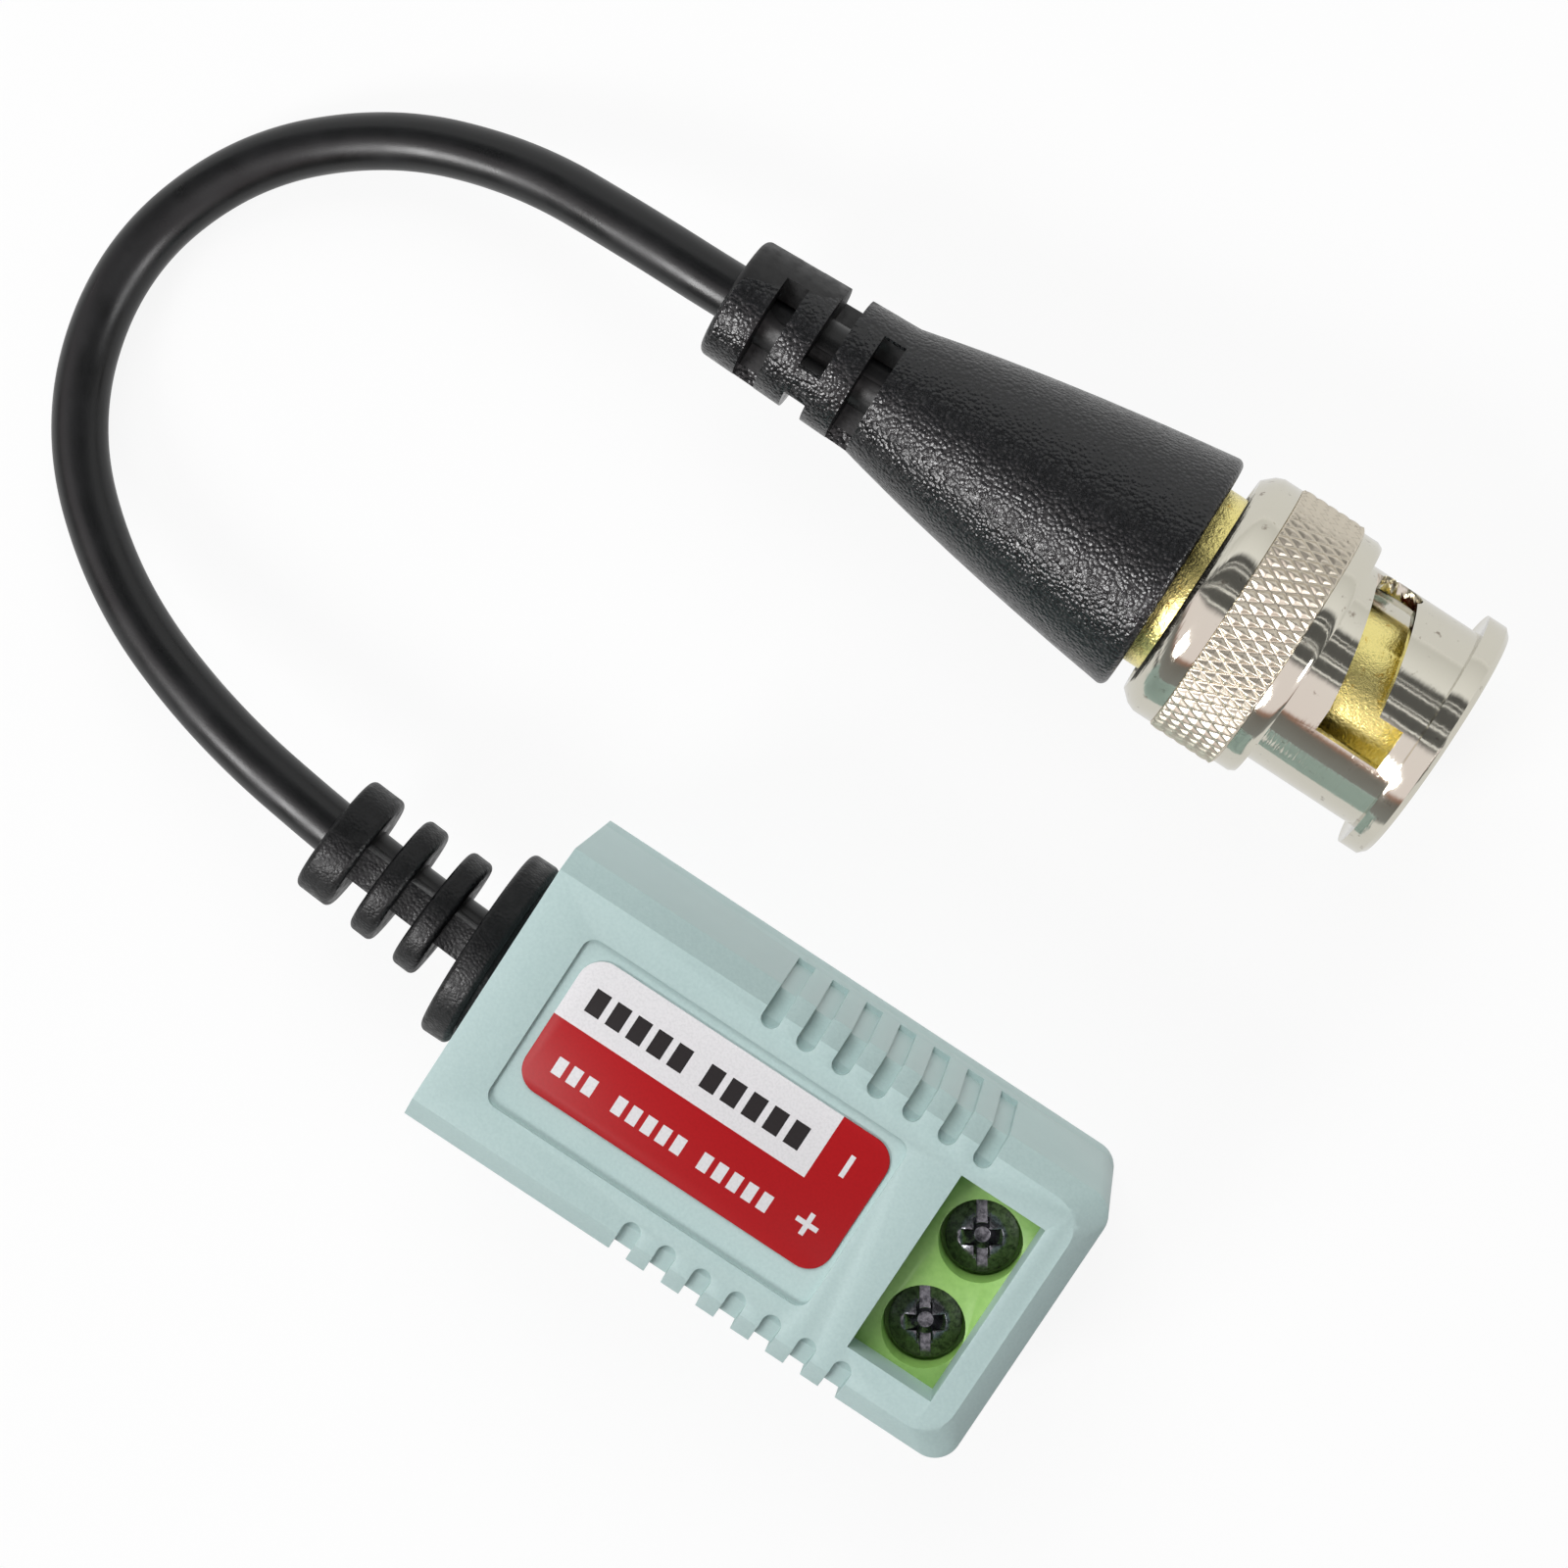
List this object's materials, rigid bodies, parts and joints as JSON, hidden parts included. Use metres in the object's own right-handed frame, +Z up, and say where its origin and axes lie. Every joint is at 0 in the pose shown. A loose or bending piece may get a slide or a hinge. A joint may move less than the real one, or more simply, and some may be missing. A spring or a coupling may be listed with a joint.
{
  "type": "video balun",
  "caption": "Passive video balun: small vented housing with a two-way screw terminal, short coaxial pigtail and bayonet plug.",
  "frame": {"origin": "centre of the housing's base, on the surface it lies on", "axes": "+X along the housing towards the terminal end, +Y across towards the plug that lies beside it, +Z up"},
  "size_m": [0.0706, 0.0501, 0.0142],
  "materials": {
    "housing_plastic": "fine moulded texture, satin",
    "label_film": "satin printed film",
    "black_rubber": "satin moulded PVC",
    "cable_jacket": "satin PVC",
    "board_laminate": "solder resist",
    "block_plastic": "moulded, satin",
    "nickel_plate": "turned, nickel plated",
    "gold_plate": "turned, gold plated",
    "steel_screw": "nickel-plated steel",
    "spring_steel": "bright",
    "tinned_brass": "tinned",
    "ferrite": "sintered, dull",
    "enamelled_copper": "enamelled",
    "chip_body": "moulded",
    "chip_ceramic": "ceramic",
    "white_dielectric": "smooth",
    "gasket_rubber": "smooth silicone"
  },
  "bodies": {
    "balun": {"housing_shell": "housing_plastic", "bottom_cover": "housing_plastic", "printed_label": "label_film", "strain_relief": "black_rubber", "cable": "cable_jacket", "circuit_board": "board_laminate", "terminal_block": "block_plastic", "terminal_pin_1": "tinned_brass", "terminal_pin_2": "tinned_brass", "ferrite_core": "ferrite", "primary_winding": "enamelled_copper", "secondary_winding": "enamelled_copper", "surge_diodes": "chip_body", "chip_capacitors": "chip_ceramic", "chip_resistors": "chip_body", "coax_core": "white_dielectric", "braid_tail": "tinned_brass", "plug_overmould": "black_rubber", "plug_body": "gold_plate", "spring_washer": "spring_steel", "face_gasket": "gasket_rubber", "outer_contact": "gold_plate", "plug_insulator": "white_dielectric", "centre_pin": "gold_plate", "plug_core": "white_dielectric"},
    "coupling_thrust": {"thrust_washer": "nickel_plate"},
    "coupling": {"coupling_sleeve": "nickel_plate", "retaining_ring": "nickel_plate"},
    "screw_1": {"terminal_screw_1": "steel_screw"},
    "screw_2": {"terminal_screw_2": "steel_screw"},
    "cage_1": {"clamp_cage_1": "tinned_brass"},
    "cage_2": {"clamp_cage_2": "tinned_brass"}
  },
  "joints": [
    {"name": "coupling_slide", "type": "slide", "parent": "balun", "child": "coupling_thrust", "axis": [1, 0, 0], "range_m": [0, 0.0004], "stiffness_N_per_m": 8000},
    {"name": "coupling_turn", "type": "hinge", "parent": "coupling_thrust", "child": "coupling", "pos_m": [0.0037, 0.0351, 0.007], "axis": [1, 0, 0], "continuous": true},
    {"name": "screw_1_turn", "type": "hinge", "parent": "balun", "child": "screw_1", "pos_m": [0.01137, -0.00272, 0.0105], "axis": [0, 0, -1], "range_deg": [0, 1370]},
    {"name": "screw_2_turn", "type": "hinge", "parent": "balun", "child": "screw_2", "pos_m": [0.01137, 0.00248, 0.0105], "axis": [0, 0, -1], "range_deg": [0, 1370]},
    {"name": "cage_1_rise", "type": "slide", "parent": "balun", "child": "cage_1", "axis": [0, 0, 1], "range_m": [0, 0.0019]},
    {"name": "cage_2_rise", "type": "slide", "parent": "balun", "child": "cage_2", "axis": [0, 0, 1], "range_m": [0, 0.0019]}
  ],
  "couplings": [
    {"joint": "screw_1_turn", "follows": "cage_1_rise", "rad_per_m": 12566},
    {"joint": "screw_2_turn", "follows": "cage_2_rise", "rad_per_m": 12566}
  ]
}
